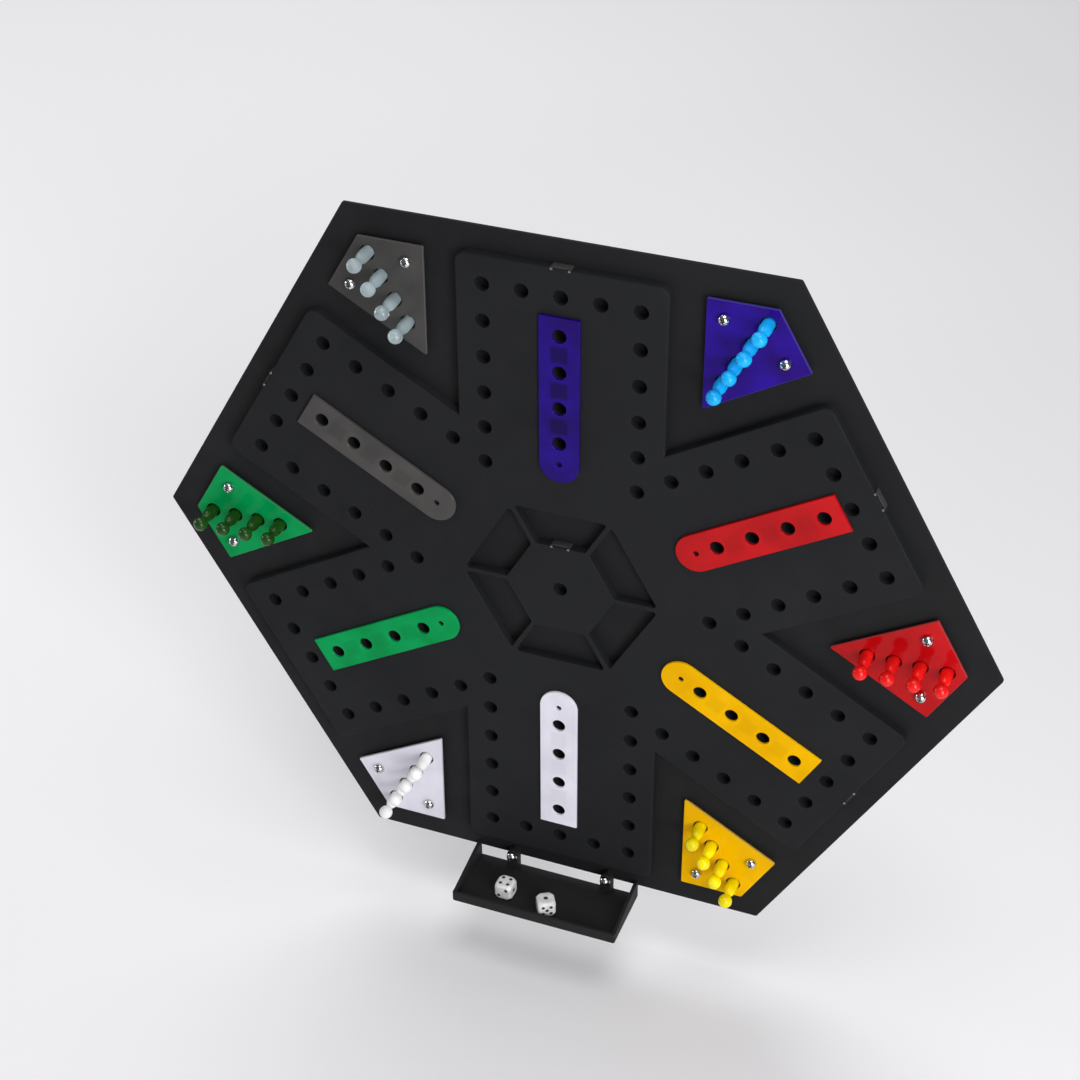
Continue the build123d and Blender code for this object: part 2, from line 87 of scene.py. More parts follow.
# Edge clips: a plate on an arm's end, with two bright tips hooked over the top
CLIPPED_ARMS = ("blue", "red", "yellow", "grey")
CLIP_THICKNESS = 1.2 * MM
CLIP_WIDTH = 15.6 * MM
CLIP_ROUNDING = 0.35 * MM
CLIP_TIP_WIDTH = 2.0 * MM
CLIP_TIP_HOOK = 0.8 * MM
CLIP_TIP_HEIGHT = 0.6 * MM
CLIP_TIP_RISE = 2.0 * MM
CLIP_TIP_ROUNDING = 0.28 * MM
CLIP_TAB_ROUNDING = 0.25 * MM
CLIP_OVERLAP = 0.8 * MM
ROUNDING_STEPS = 3
ROUNDING_PROFILE = 0.5

# Screw heads and their cross recesses
SCREW_HEAD = 9.0 * MM
SCREW_HEIGHT = 5.3 * MM
SCREW_RIM = 1.6 * MM
SCREW_RIM_BREAK = 0.25 * MM
SCREW_SIDES = 40
SCREW_DOME_STEPS = 14
SCREW_TURN = 25.0
RECESS_REACH = 2.3 * MM
RECESS_HALF_WIDTH = 0.55 * MM
RECESS_DEPTH = 1.3 * MM
RECESS_TAPERS = (0.5, 1.5)

# Dice, whose corners are trimmed by a ball
DIE_ROUNDING = 2.2 * MM
DIE_BALL = 10.3 * MM
DIE_CELLS = 28
OPPOSITE_SUM = 7
PIP_DEPTH = 0.6 * MM
PIP_RADIUS = 1.45 * MM
SINGLE_PIP_RADIUS = 1.85 * MM
PIP_SPACING = 3.3 * MM
PIP_SIDES = 24
PIP_RINGS = 16
PIP_PATTERNS = {
    1: [(0, 0)],
    2: [(-1, -1), (1, 1)],
    3: [(-1, -1), (0, 0), (1, 1)],
    4: [(-1, -1), (-1, 1), (1, -1), (1, 1)],
    5: [(-1, -1), (-1, 1), (1, -1), (1, 1), (0, 0)],
    6: [(-1, -1), (-1, 0), (-1, 1), (1, -1), (1, 0), (1, 1)],
}
DIE_FACES = {
    "die_1": {"top": 4, "front": 2, "right": 1, "turn": -2.0},
    "die_2": {"top": 1, "front": 5, "right": 4, "turn": 30.0},
}

# Angles in degrees between faces, from which an edge stays sharp
PEG_SHARP = 60
CLIP_SHARP = 40
SCREW_SHARP = 28
DIE_SHARP = 30

# Order of the finishes of a piece that has two
OUTER_FINISH = 0
SECOND_FINISH = 1

# Black pieces: name of the finish, tone, tint and specular level
BLACKS = {
    "track_plate": ("track_black", 0.0135, (0.96, 1.0, 1.1), 0.12),
    "base_plate": ("base_black", 0.011, (0.97, 1.0, 1.08), 0.16),
    "dice_tray": ("tray_black", 0.012, (0.98, 1.0, 1.04), 0.25),
    "strip_pads": ("pad_dark", 0.006, (1.0, 1.0, 1.0), 0.15),
}
CLIP_BLACK = ("clip_plate", 0.04, (1.0, 0.98, 0.96), 0.25)
SHEET_GRAIN = 2600.0
DUST_GRAIN = 1300.0
DUST_COLOUR = (0.16, 0.16, 0.17)

# Metals: name, colour, lowest and highest roughness, and scale of the smears
CHROME = ("screw_chrome", (0.68, 0.69, 0.7), 0.04, 0.1, 700.0)
# The recess metal is darkened to paint shade into the screws' cross recesses
RECESS_PAINTED_SHADE = ("screw_recess_painted_shade", (0.1, 0.1, 0.1), 0.3, 0.5, 700.0)
TIP_METAL = ("clip_tips", (0.3, 0.3, 0.3), 0.3, 0.45, 500.0)

# Players' sheets, linear: usual tone, darker tone and lighter tone
SHEETS = {
    "blue": ((0.021, 0.003, 0.22), (0.018, 0.002, 0.14), (0.024, 0.005, 0.3)),
    "red": ((0.44, 0.003, 0.005), (0.38, 0.002, 0.004), (0.5, 0.004, 0.007)),
    "yellow": ((0.8, 0.43, 0.0), (0.74, 0.38, 0.0), (0.86, 0.47, 0.001)),
    "white": ((0.71, 0.7, 0.775), (0.66, 0.65, 0.725), (0.76, 0.75, 0.825)),
    "green": ((0.001, 0.3, 0.075), (0.001, 0.25, 0.06), (0.002, 0.33, 0.09)),
    "grey": ((0.056, 0.054, 0.052), (0.046, 0.044, 0.042), (0.066, 0.063, 0.06)),
}
SHEET_SPECULAR = {"blue": 0.1, "red": 0.16, "yellow": 0.04, "white": 0.2, "green": 0.06, "grey": 0.12}

# The black spacers, and how far painted light, coloured as if it came through each player's sheet,
# tints them
SPACER_TONE = 0.006
SPACER_SPECULAR = 0.1
SPACER_PAINTED_LIGHT_TINTS = {"blue": 12.0, "red": 30.0, "yellow": 36.0, "white": 12.0, "green": 20.0, "grey": 12.0}

# Home strips whose tone differs from their player's start plate
STRIP_SHADES = {"blue": 0.72, "grey": 1.15}

# A start plate's cut edges, lit by painted light: how bright it is, and the Y of a normal from which it
# is a face's
EDGE_PAINTED_LIGHT = 0.7
EDGE_PAINTED_LIGHT_LIFT = 0.05
FACE_LIMIT = 0.9

# How dark and how strong the pads show through a strip
PAD_SHADES = {"blue": 0.55, "red": 0.75, "yellow": 0.9, "white": 0.9, "green": 0.85, "grey": 0.8}
PAD_STRENGTH = 0.4
BLUE_PAD_STRENGTH = 0.8

# How far a pad's soft edge reaches out and in: along as shares of the pitch, across in metres
PAD_FADE_ALONG = (0.03, 0.05)
PAD_FADE_ACROSS = (0.8 * MM, 1.4 * MM)

# Players' pegs: tone and how clear the plastic is
PEG_TONES = {
    "blue": ((0.008, 0.42, 0.95), 0.0),
    "red": ((0.8, 0.008, 0.007), 0.0),
    "yellow": ((0.9, 0.73, 0.001), 0.0),
    "white": ((0.92, 0.92, 0.915), 0.0),
    "green": ((0.012, 0.066, 0.005), 0.0),
    "grey": ((0.68, 0.81, 0.84), 0.65),
}

# Studio: the floor lies under the tray, because the board hangs
FLOOR_DROP = 60.0 * MM
FLOOR_RADIUS = 9.0
FLOOR_SIDES = 96
SKY_COLOUR = (0.93, 0.94, 1.0, 1.0)
SKY_STRENGTH = 0.14

# Lights: place, point aimed at, width and height, watts and colour
LIGHTS = {
    "key": ((2.4, -3.0, 1.9), (0, 0, 0), (2.0, 2.0), 58.0, (1.0, 0.99, 0.98)),
    "overhead": ((-1.8, 2.1, 3.0), (-1.7, 2.0, 0), (3.0, 3.0), 98.0, (1.0, 0.995, 1.0)),
    "side": ((-2.3, -0.1, 0.45), (0, 0, 0.05), (0.4, 0.4), 8.0, (1.0, 1.0, 1.0)),
    "low": ((1.4, -1.3, 0.3), (0.1, 0, -0.05), (0.7, 0.7), 18.0, (0.98, 0.98, 1.0)),
    "fill": ((0.55, -0.6, 3.3), (0.3, -0.5, 0), (2.0, 2.0), 48.0, (1.0, 1.0, 1.0)),
}

# Camera of the photograph, which is square. Angles are in degrees.
CAMERA_PLACE = (481.2 * MM, -1292.6 * MM, 1003.4 * MM)
CAMERA_AZIMUTH = -21.208
CAMERA_DOWN = 34.952
CAMERA_ROLL = -0.271
CAMERA_NEAR = 0.05
CAMERA_FAR = 60.0
FOCAL_PIXELS = 2207.0
PHOTO_PIXELS = 1080.0
SENSOR = 36.0


# Small mesh tools


def new_object(name, mesh, materials):
    """An object of a mesh, with its materials, in the scene."""
    thing = bpy.data.objects.new(name, mesh)
    bpy.context.scene.collection.objects.link(thing)
    for material in materials:
        mesh.materials.append(material)
    return thing


def mesh_of(build, name):
    """A mesh filled by a function that takes a bmesh."""
    shape = bmesh.new()
    build(shape)
    bmesh.ops.recalc_face_normals(shape, faces=shape.faces)
    mesh = bpy.data.meshes.new(name)
    shape.to_mesh(mesh)
    shape.free()
    return mesh


def carve(thing, cutter):
    """Cuts one object's shape out of another, and removes the cutter."""
    cut = thing.modifiers.new("cut", "BOOLEAN")
    cut.object = cutter
    cut.solver = "EXACT"
    seen = thing.evaluated_get(bpy.context.evaluated_depsgraph_get())
    mesh = bpy.data.meshes.new_from_object(seen)
    thing.modifiers.clear()
    thing.data = mesh
    bpy.data.objects.remove(cutter)


def smooth(mesh, angle):
    """Smooth shading, with edges kept sharp from an angle in degrees up."""
    shape = bmesh.new()
    shape.from_mesh(mesh)
    limit = math.radians(angle)
    for face in shape.faces:
        face.smooth = True
    for edge in shape.edges:
        edge.smooth = len(edge.link_faces) == 2 and edge.calc_face_angle(0) < limit
    shape.to_mesh(mesh)
    shape.free()


def lathe(shape, profile, sides, place):
    """Revolves (radius, height) points about a matrix's Z axis. A radius of 0 is a pole."""
    rings = []
    for radius, height in profile:
        if radius == 0:
            rings.append([shape.verts.new(place @ Vector((0, 0, height)))])
            continue
        ring = []
        for step in range(sides):
            turn = 2 * math.pi * step / sides
            spot = Vector((radius * math.cos(turn), radius * math.sin(turn), height))
            ring.append(shape.verts.new(place @ spot))
        rings.append(ring)
    for lower, upper in zip(rings, rings[1:]):
        for step in range(sides):
            after = (step + 1) % sides
            if len(lower) == 1:
                shape.faces.new((lower[0], upper[after], upper[step]))
            elif len(upper) == 1:
                shape.faces.new((lower[step], lower[after], upper[0]))
            else:
                shape.faces.new((lower[step], lower[after], upper[after], upper[step]))


def board_matrix(x, z, height):
    """A frame at x and z on the board and a height from the wall, its Z axis out of the wall."""
    out = Matrix(((1, 0, 0), (0, 0, -1), (0, 1, 0))).to_4x4()
    return Matrix.Translation((x, -height, z)) @ out


# Materials, with the places of the colour sockets on a mix node


MIX_INPUTS = (6, 7)
MIX_OUTPUT = 2


class Nodes:
    """A material's node tree with short ways to add and join nodes."""

    def __init__(self, name):
        self.material = bpy.data.materials.new(name)
        self.material.use_nodes = True
        self.tree = self.material.node_tree
        self.shader = self.tree.nodes["Principled BSDF"]

    def add(self, kind, inputs=None, **settings):
        """Adds a node with its settings and its inputs' values or sockets."""
        node = self.tree.nodes.new(kind)
        for key, value in settings.items():
            setattr(node, key, value)
        for key, value in (inputs or {}).items():
            self.feed(node, key, value)
        return node

    def feed(self, node, key, value):
        """Sets an input, or joins it to another node's socket."""
        if isinstance(value, bpy.types.NodeSocket):
            self.tree.links.new(value, node.inputs[key])
        else:
            node.inputs[key].default_value = value

    def surface(self, **inputs):
        """Feeds the surface's shader, whose inputs are named with _ for a space."""
        for key, value in inputs.items():
            self.feed(self.shader, key.replace("_", " "), value)

    def places(self):
        """Places on the piece, in metres."""
        return self.add("ShaderNodeTexCoord").outputs["Object"]

    def noise(self, scale, detail, roughness=0.55):
        """Noise that stays with the piece. The scale is the number of its cells in a metre."""
        inputs = {"Vector": self.places(), "Scale": scale, "Detail": detail, "Roughness": roughness}
        return self.add("ShaderNodeTexNoise", inputs).outputs["Fac"]

    def math(self, operation, first, second=0.0):
        """One sum on two values."""
        return self.add("ShaderNodeMath", {0: first, 1: second}, operation=operation).outputs[0]

    def ramp(self, value, stops):
        """Maps a value to greys or colours at (place, colour) stops."""
        node = self.add("ShaderNodeValToRGB", {"Fac": value})
        band = node.color_ramp.elements
        band[0].position, band[0].color = stops[0][0], with_alpha(stops[0][1])
        band[1].position, band[1].color = stops[-1][0], with_alpha(stops[-1][1])
        for place, colour in stops[1:-1]:
            band.new(place).color = with_alpha(colour)
        return node.outputs["Color"]

    def drift(self, scale, detail, stops):
        """Noise mapped to greys or colours at (place, colour) stops."""
        return self.ramp(self.noise(scale, detail), stops)

    def mix(self, factor, first, second):
        """Blends two colours, each a value or a socket."""
        node = self.add("ShaderNodeMix", {"Factor": factor}, data_type="RGBA")
        for place, value in zip(MIX_INPUTS, (first, second)):
            is_socket = isinstance(value, bpy.types.NodeSocket)
            self.feed(node, place, value if is_socket else with_alpha(value))
        return node.outputs[MIX_OUTPUT]

    def bump(self, height, distance, strength):
        """A normal bent by a height, with the distance in metres."""
        inputs = {"Height": height, "Distance": distance, "Strength": strength}
        return self.add("ShaderNodeBump", inputs).outputs["Normal"]


def with_alpha(value):
    """A colour with alpha, from a grey or three parts."""
    if isinstance(value, (int, float)):
        return (value, value, value, 1.0)
    return (*value[:3], 1.0)


def scaled(colour, factor):
    """A colour made darker or lighter by a factor."""
    return tuple(part * factor for part in colour)


def matte_black(name, tone, tint, specular):
    """Cut black sheet: fine grain, faint cloudy wear and a little dust."""
    look = Nodes(name)
    dark = scaled(tint, tone * 0.86)
    light = scaled(tint, tone * 1.16)
    body = look.drift(9.0, 4.0, [(0.3, dark), (0.7, light)])
    specks = look.ramp(look.noise(DUST_GRAIN, 1.0, 0.5), [(0.745, 0.0), (0.79, 1.0)])
    patches = look.drift(16.0, 2.0, [(0.5, 0.0), (0.7, 0.5)])
    look.surface(
        Base_Color=look.mix(look.math("MULTIPLY", specks, patches), body, DUST_COLOUR),
        Roughness=look.drift(40.0, 5.0, [(0.3, 0.62), (0.7, 0.78)]),
        Specular_IOR_Level=specular,
        Normal=look.bump(look.noise(SHEET_GRAIN, 2.0, 0.6), 0.08 * MM, 0.5),
    )
    return look.material


def acrylic(name, tones, specular, pads=None):
    """Coloured sheet with drifts of tone, and either cut edges brightened by painted light or pads
    showing from below.
    """
    colour, dark, light = tones
    look = Nodes(name)
    body = look.drift(28.0, 2.0, [(0.32, dark), (0.5, colour), (0.68, light)])
    if pads:
        body = look.mix(pad_mask(look, pads), body, scaled(dark, pads["shade"]))
    else:
        # Painted light: cut edges get a lighter colour, as if lit
        edge = tuple(EDGE_PAINTED_LIGHT * (EDGE_PAINTED_LIGHT_LIFT + part) for part in light)
        body = look.mix(painted_edge_light_mask(look), body, edge)
    look.surface(
        Base_Color=body,
        Roughness=look.drift(120.0, 4.0, [(0.35, 0.07), (0.75, 0.12)]),
        Specular_IOR_Level=specular,
        Normal=look.bump(look.noise(60.0, 2.0), 0.03 * MM, 0.2),
    )
    return look.material


def painted_edge_light_mask(look):
    """1 on a sheet's cut edges, which get painted light, and 0 on its faces."""
    normal = look.add("ShaderNodeNewGeometry").outputs["Normal"]
    outward = look.add("ShaderNodeSeparateXYZ", {"Vector": normal}).outputs["Y"]
    return look.math("LESS_THAN", look.math("ABSOLUTE", outward), FACE_LIMIT)


def pad_mask(look, pads):
    """Soft squares along a strip, where its pads lie under it."""
    half = pads["half"]
    pitch = pads["pitch"]
    turn = (0, math.radians(pads["angle"]), 0)
    turned = look.add("ShaderNodeMapping", {"Vector": look.places(), "Rotation": turn})
    parts = look.add("ShaderNodeSeparateXYZ", {"Vector": turned.outputs["Vector"]}).outputs
    count = look.math("DIVIDE", look.math("SUBTRACT", parts["X"], pads["first"] - pitch / 2), pitch)
    nearest = look.math("ABSOLUTE", look.math("SUBTRACT", look.math("FRACT", count), 0.5))
    along = soft_step(look, nearest, half / pitch, PAD_FADE_ALONG)
    across = soft_step(look, look.math("ABSOLUTE", parts["Z"]), half, PAD_FADE_ACROSS)
    after_first = look.math("GREATER_THAN", count, 0.0)
    before_last = look.math("LESS_THAN", count, pads["number"])
    inside = look.math("MULTIPLY", after_first, before_last)
    square = look.math("MULTIPLY", along, across)
    return look.math("MULTIPLY", look.math("MULTIPLY", square, inside), pads["strength"])


def soft_step(look, value, limit, fade):
    """1 below a limit and 0 above it, with a fade that reaches out and in from it."""
    out, inward = fade
    inputs = {"Value": value, "From Min": limit + out, "From Max": limit - inward}
    return look.add("ShaderNodeMapRange", inputs).outputs["Result"]


def peg_plastic(name, colour, clear):
    """Moulded peg: glossy, with tone drifting from piece to piece and, if clear, light through it."""
    look = Nodes(name)
    rough = 0.4 if clear else 1.0
    gloss = 0.5 if clear else 0.32
    dark = scaled(colour, 0.82)
    light = scaled(colour, 1.12)
    look.surface(
        Base_Color=look.drift(55.0, 1.0, [(0.35, dark), (0.65, light)]),
        Roughness=look.drift(110.0, 2.0, [(0.3, 0.22 * rough), (0.7, 0.28 * rough)]),
        Specular_IOR_Level=gloss,
        Subsurface_Weight=0.25,
        Subsurface_Radius=(0.004, 0.004, 0.004),
        Transmission_Weight=clear,
        IOR=1.49,
        Normal=look.bump(look.noise(260.0, 1.0), 0.02 * MM, 0.05),
    )
    return look.material


def metal(name, colour, low, high, grain):
    """Bright metal with smears of roughness."""
    look = Nodes(name)
    look.surface(
        Base_Color=look.drift(260.0, 3.0, [(0.3, scaled(colour, 0.86)), (0.7, colour)]),
        Metallic=1.0,
        Roughness=look.drift(grain, 4.0, [(0.35, low), (0.7, high)]),
    )
    return look.material


def die_plastic():
    """White plastic of the dice, a little rough and uneven from use."""
    look = Nodes("die_white")
    look.surface(
        Base_Color=look.drift(180.0, 4.0, [(0.3, (0.62, 0.62, 0.61)), (0.7, (0.8, 0.8, 0.79))]),
        Roughness=look.drift(500.0, 3.0, [(0.3, 0.3), (0.7, 0.48)]),
        Subsurface_Weight=0.1,
        Subsurface_Radius=(0.003, 0.003, 0.003),
        Normal=look.bump(look.noise(900.0, 3.0), 0.06 * MM, 0.4),
    )
    return look.material


def pip_paint():
    """Black paint in the dice's pips."""
    look = Nodes("pip_black")
    look.surface(
        Base_Color=look.drift(900.0, 2.0, [(0.3, 0.008), (0.7, 0.02)]),
        Roughness=look.drift(600.0, 2.0, [(0.3, 0.35), (0.7, 0.55)]),
    )
    return look.material


# Plates, which keep their own shape


def clothe(node, material):
    """Gives a node of the frame its finish."""
    slots = nodes[node].data.materials
    slots.clear()
    slots.append(material)


def pads_under(colour, angle):
    """Where the pads under a player's home strip lie, and how they show through it."""
    shift = RED_SHIFT if colour == "red" else 0
    return {
        "angle": angle,
        "first": FIRST_HOME_HOLE + HOLE_PITCH / 2 + shift,
        "pitch": HOLE_PITCH,
        "half": PAD_HALF,
        "number": PADS_EACH,
        "shade": PAD_SHADES[colour],
        "strength": BLUE_PAD_STRENGTH if colour == "blue" else PAD_STRENGTH,
    }


def dress_player(colour, angle):
    """Finishes of a player's spacer, home strip and start plate."""
    tones = SHEETS[colour]
    gloss = SHEET_SPECULAR[colour]
    # Painted light: the black spacer is tinted with its sheet's colour
    tint = tuple(1.0 + SPACER_PAINTED_LIGHT_TINTS[colour] * part for part in tones[0])
    spacer = matte_black(f"spacer_{colour}", SPACER_TONE, tint, SPACER_SPECULAR)
    strip_tones = [scaled(tone, STRIP_SHADES.get(colour, 1.0)) for tone in tones]
    strip = acrylic(f"strip_{colour}", strip_tones, gloss, pads_under(colour, angle))
    clothe(f"start_spacer_{colour}", spacer)
    clothe(f"home_strip_{colour}", strip)
    clothe(f"start_plate_{colour}", acrylic(f"start_{colour}", tones, gloss))


def dress_plates():
    """Finishes of all the board's plates, of its tray and of its pads."""
    for node, black in BLACKS.items():
        clothe(node, matte_black(*black))
    for colour, angle in ARM_ANGLES.items():
        dress_player(colour, angle)


# Pegs


def peg_profile(head, length):
    """Outline of a peg: rounded foot, bullet body, neck and ball head, from the foot up."""
    foot = PEG_FOOT_ROUNDING
    inner = PEG_RADIUS - foot
    profile = [(0, 0), (inner, 0)]
    for step in range(1, PEG_FOOT_STEPS + 1):
        turn = math.pi / 2 * step / PEG_FOOT_STEPS
        profile.append((inner + foot * math.sin(turn), foot - foot * math.cos(turn)))
    curve = [
        (PEG_RADIUS, PEG_BODY_TOP),
        (PEG_RADIUS, PEG_BODY_TOP + PEG_BODY_PULL),
        (PEG_NECK_RADIUS, PEG_NECK_HEIGHT - PEG_NECK_PULL),
        (PEG_NECK_RADIUS, PEG_NECK_HEIGHT),
    ]
    profile += bezier(curve, PEG_SHOULDER_STEPS)
    centre = length - head
    start = math.asin(PEG_NECK_RADIUS / head)
    for step in range(PEG_HEAD_STEPS):
        turn = start + (math.pi - start) * step / PEG_HEAD_STEPS
        profile.append((head * math.sin(turn), centre - head * math.cos(turn)))
    profile.append((0, length))
    return profile


def bezier(curve, steps):
    """Points along a curve that is given by its two ends and two pulls."""
    points = []
    for step in range(steps + 1):
        on = step / steps
        back = 1 - on
        weights = (back ** 3, 3 * on * back ** 2, 3 * on * on * back, on ** 3)
        points.append(tuple(sum(weight * point[axis] for weight, point in zip(weights, curve))
                            for axis in (0, 1)))
    return points


def make_peg(node, material):
    """A turned peg in its hole, as tall and with as large a head as its node."""
    low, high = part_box(node)
    centre = (low + high) / 2
    length = high.y - low.y
    head = (high.x - low.x) / 2
    profile = peg_profile(head, length)
    place = board_matrix(centre.x, centre.z, -high.y)
    mesh = mesh_of(lambda shape: lathe(shape, profile, PEG_SIDES, place), node)
    peg = new_object(f"{node}_turned", mesh, [material])
    smooth(mesh, PEG_SHARP)
    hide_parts(node)
    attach(peg, f"{node}_body")


def make_pegs():
    """Every player's pegs, in one plastic for each player."""
    for colour in ARM_ANGLES:
        tone, clear = PEG_TONES[colour]
        material = peg_plastic(f"peg_{colour}", tone, clear)
        for number in range(1, PEGS_EACH + 1):
            make_peg(f"peg_{colour}_{number}", material)


# Edge clips


def block(shape, low, high, rounding, place, finish):
    """A box between two corners with rounded edges."""
    size = [end - start for start, end in zip(low, high)]
    middle = [(start + end) / 2 for start, end in zip(low, high)]
    frame_of_box = Matrix.Translation(middle) @ Matrix.Diagonal((*size, 1.0))
    corners = bmesh.ops.create_cube(shape, size=1.0, matrix=frame_of_box)["verts"]
    edges = dict.fromkeys(edge for corner in corners for edge in corner.link_edges)
    made = bmesh.ops.bevel(shape, geom=list(edges), offset=rounding, segments=ROUNDING_STEPS,
                           profile=ROUNDING_PROFILE, affect="EDGES")
    for vertex in made["verts"]:
        vertex.co = place @ vertex.co
        for face in vertex.link_faces:
            face.material_index = finish


def clip(shape, reach, plate_top, top, foot, place):
    """One clip against a wall at a reach from the centre, from a foot up to a top."""
    outside = reach + CLIP_THICKNESS
    half = CLIP_WIDTH / 2
    block(shape, (reach, -plate_top, -half), (outside, -foot, half),
          CLIP_ROUNDING, place, OUTER_FINISH)
    for side in (-1, 1):
        left = side * (half - CLIP_TIP_WIDTH / 2) - CLIP_TIP_WIDTH / 2
        right = left + CLIP_TIP_WIDTH
        block(shape, (reach, -top, left), (outside, -plate_top + CLIP_OVERLAP, right),
              CLIP_TAB_ROUNDING, place, OUTER_FINISH)
        block(shape, (reach - CLIP_TIP_HOOK, -top, left), (outside, -top + CLIP_TIP_HEIGHT, right),
              CLIP_TIP_ROUNDING, place, SECOND_FINISH)


def make_clips():
    """Sheet clips on four arms' ends and on the hub, each with two bright tips hooked over the top."""
    low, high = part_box("edge_clips")
    top = -low.y
    foot = -high.y
    places = [(ARM_ANGLES[colour], high.z - CLIP_THICKNESS) for colour in CLIPPED_ARMS]
    places.append((ARM_ANGLES["blue"], HUB_APOTHEM))

    def clips(shape):
        for angle, reach in places:
            turned = Matrix.Rotation(-math.radians(angle), 4, "Y")
            clip(shape, reach, top - CLIP_TIP_RISE, top, foot, turned)

    finishes = [matte_black(*CLIP_BLACK), metal(*TIP_METAL)]
    made = new_object("edge_clips_pressed", mesh_of(clips, "edge_clips"), finishes)
    smooth(made.data, CLIP_SHARP)
    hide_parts("edge_clips")
    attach(made, "board")


# Screws


def dome_profile():
    """Outline of a screw's head, from the middle of its seat out to its rim and up to its crown."""
    radius = SCREW_HEAD / 2
    rise = SCREW_HEIGHT - SCREW_RIM
    ball = (radius ** 2 + rise ** 2) / (2 * rise)
    half_angle = math.asin(radius / ball)
    rim = [(radius - SCREW_RIM_BREAK, 0), (radius, SCREW_RIM_BREAK), (radius, SCREW_RIM)]
    profile = [(0, 0), *rim]
    for step in range(1, SCREW_DOME_STEPS):
        turn = half_angle * (1 - step / SCREW_DOME_STEPS)
        profile.append((ball * math.sin(turn), SCREW_HEIGHT - ball + ball * math.cos(turn)))
    profile.append((0, SCREW_HEIGHT))
    return profile


def cross_cutter(shape, place):
    """A plus sign that cuts a screw's recess, and narrows towards its floor."""
    width = RECESS_HALF_WIDTH
    corner = [(RECESS_REACH, -width), (RECESS_REACH, width), (width, width)]
    levels = (SCREW_HEIGHT - RECESS_DEPTH, SCREW_HEIGHT + RECESS_DEPTH)
    rings = []
    for level, taper in zip(levels, RECESS_TAPERS):
        ring = []
        for quarter in range(4):
            turn = Matrix.Rotation(quarter * math.pi / 2, 4, "Z")
            for x, y in corner:
                across = width + (x - width) * taper
                ring.append(shape.verts.new(place @ turn @ Vector((across, y, level))))
        rings.append(ring)
    lower, upper = rings
    shape.faces.new(lower)
    shape.faces.new(upper)
    count = len(lower)
    for step in range(count):
        after = (step + 1) % count
        shape.faces.new((lower[step], lower[after], upper[after], upper[step]))


def make_screws(node, turns, finishes):
    """The domed heads of a node's screws, one at each of its solids, with their turns in degrees."""
    seat = -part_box(node)[0].y - SCREW_HEIGHT
    places = []
    for (x, z), turn in zip(screw_places(node), turns):
        places.append(board_matrix(x, z, seat) @ Matrix.Rotation(math.radians(turn), 4, "Z"))

    def domes(shape):
        for place in places:
            lathe(shape, dome_profile(), SCREW_SIDES, place)

    def crosses(shape):
        for place in places:
            cross_cutter(shape, place)
        # The recess faces take the dark finish: painted shade
        for face in shape.faces:
            face.material_index = SECOND_FINISH

    heads = new_object(f"{node}_heads", mesh_of(domes, node), finishes)
    carve(heads, new_object(f"{node}_cutter", mesh_of(crosses, f"{node}_cut"), finishes))
    smooth(heads.data, SCREW_SHARP)
    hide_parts(node)
    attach(heads, "board")


def screw_places(node):
    """Where each screw of a node stands, from its mesh's separate islands."""
    same_spot = 0.001 * MM
    shape = bmesh.new()
    shape.from_mesh(nodes[node].data)
    bmesh.ops.remove_doubles(shape, verts=shape.verts, dist=same_spot)
    left = set(shape.verts)
    spots = []
    while left:
        island = []
        stack = [left.pop()]
        while stack:
            vertex = stack.pop()
            island.append(vertex.co.copy())
            for edge in vertex.link_edges:
                other = edge.other_vert(vertex)
                if other in left:
                    left.remove(other)
                    stack.append(other)
        across = [point.x for point in island]
        up = [point.z for point in island]
        spots.append(((min(across) + max(across)) / 2, (min(up) + max(up)) / 2))
    shape.free()
    return sorted(spots)


def make_all_screws():
    """The start plates' screws, each turned further than the last, and the tray's two screws."""
    # The second finish paints shade into the recesses
    finishes = [metal(*CHROME), metal(*RECESS_PAINTED_SHADE)]
    for count, colour in enumerate(ARM_ANGLES):
        turns = ((2 * count + 1) * SCREW_TURN, (2 * count + 2) * SCREW_TURN)
        make_screws(f"start_screws_{colour}", turns, finishes)
    make_screws("tray_screws", (-SCREW_TURN, SCREW_TURN), finishes)


# Dice


def rounded_cube(shape, side, place):
    """A cube with rounded edges whose corners are trimmed by a ball."""
    half = side / 2
    inner = half - DIE_ROUNDING
    key_steps = 1000
    found = {}

    def vertex(point):
        """The vertex of a point on the plain cube, shared by the faces that meet there."""
        key = tuple(round(part / side * key_steps) for part in point)
        if key not in found:
            core = Vector([max(-inner, min(inner, part)) for part in point])
            spot = core + (Vector(point) - core).normalized() * DIE_ROUNDING
            if spot.length > DIE_BALL:
                spot *= DIE_BALL / spot.length
            found[key] = shape.verts.new(place @ spot)
        return found[key]

    steps = [math.tan((2 * step / DIE_CELLS - 1) * math.pi / 4) * half for step in range(DIE_CELLS + 1)]
    cells = [(row, column) for row in range(DIE_CELLS) for column in range(DIE_CELLS)]
    for axis in range(3):
        for sign in (-1, 1):
            for row, column in cells:
                corners = []
                for down, over in ((0, 0), (1, 0), (1, 1), (0, 1)):
                    point = [0, 0, 0]
                    point[axis] = sign * half
                    point[(axis + 1) % 3] = steps[row + down]
                    point[(axis + 2) % 3] = steps[column + over]
                    corners.append(vertex(point))
                shape.faces.new(corners)


def face_turns(shown):
    """For each number, the turn that carries the die's top face to that number's face."""
    quarter = math.pi / 2
    top, front, right = shown["top"], shown["front"], shown["right"]
    return {
        top: Matrix.Identity(4),
        OPPOSITE_SUM - top: Matrix.Rotation(math.pi, 4, "X"),
        front: Matrix.Rotation(quarter, 4, "X"),
        OPPOSITE_SUM - front: Matrix.Rotation(-quarter, 4, "X"),
        right: Matrix.Rotation(quarter, 4, "Y"),
        OPPOSITE_SUM - right: Matrix.Rotation(-quarter, 4, "Y"),
    }


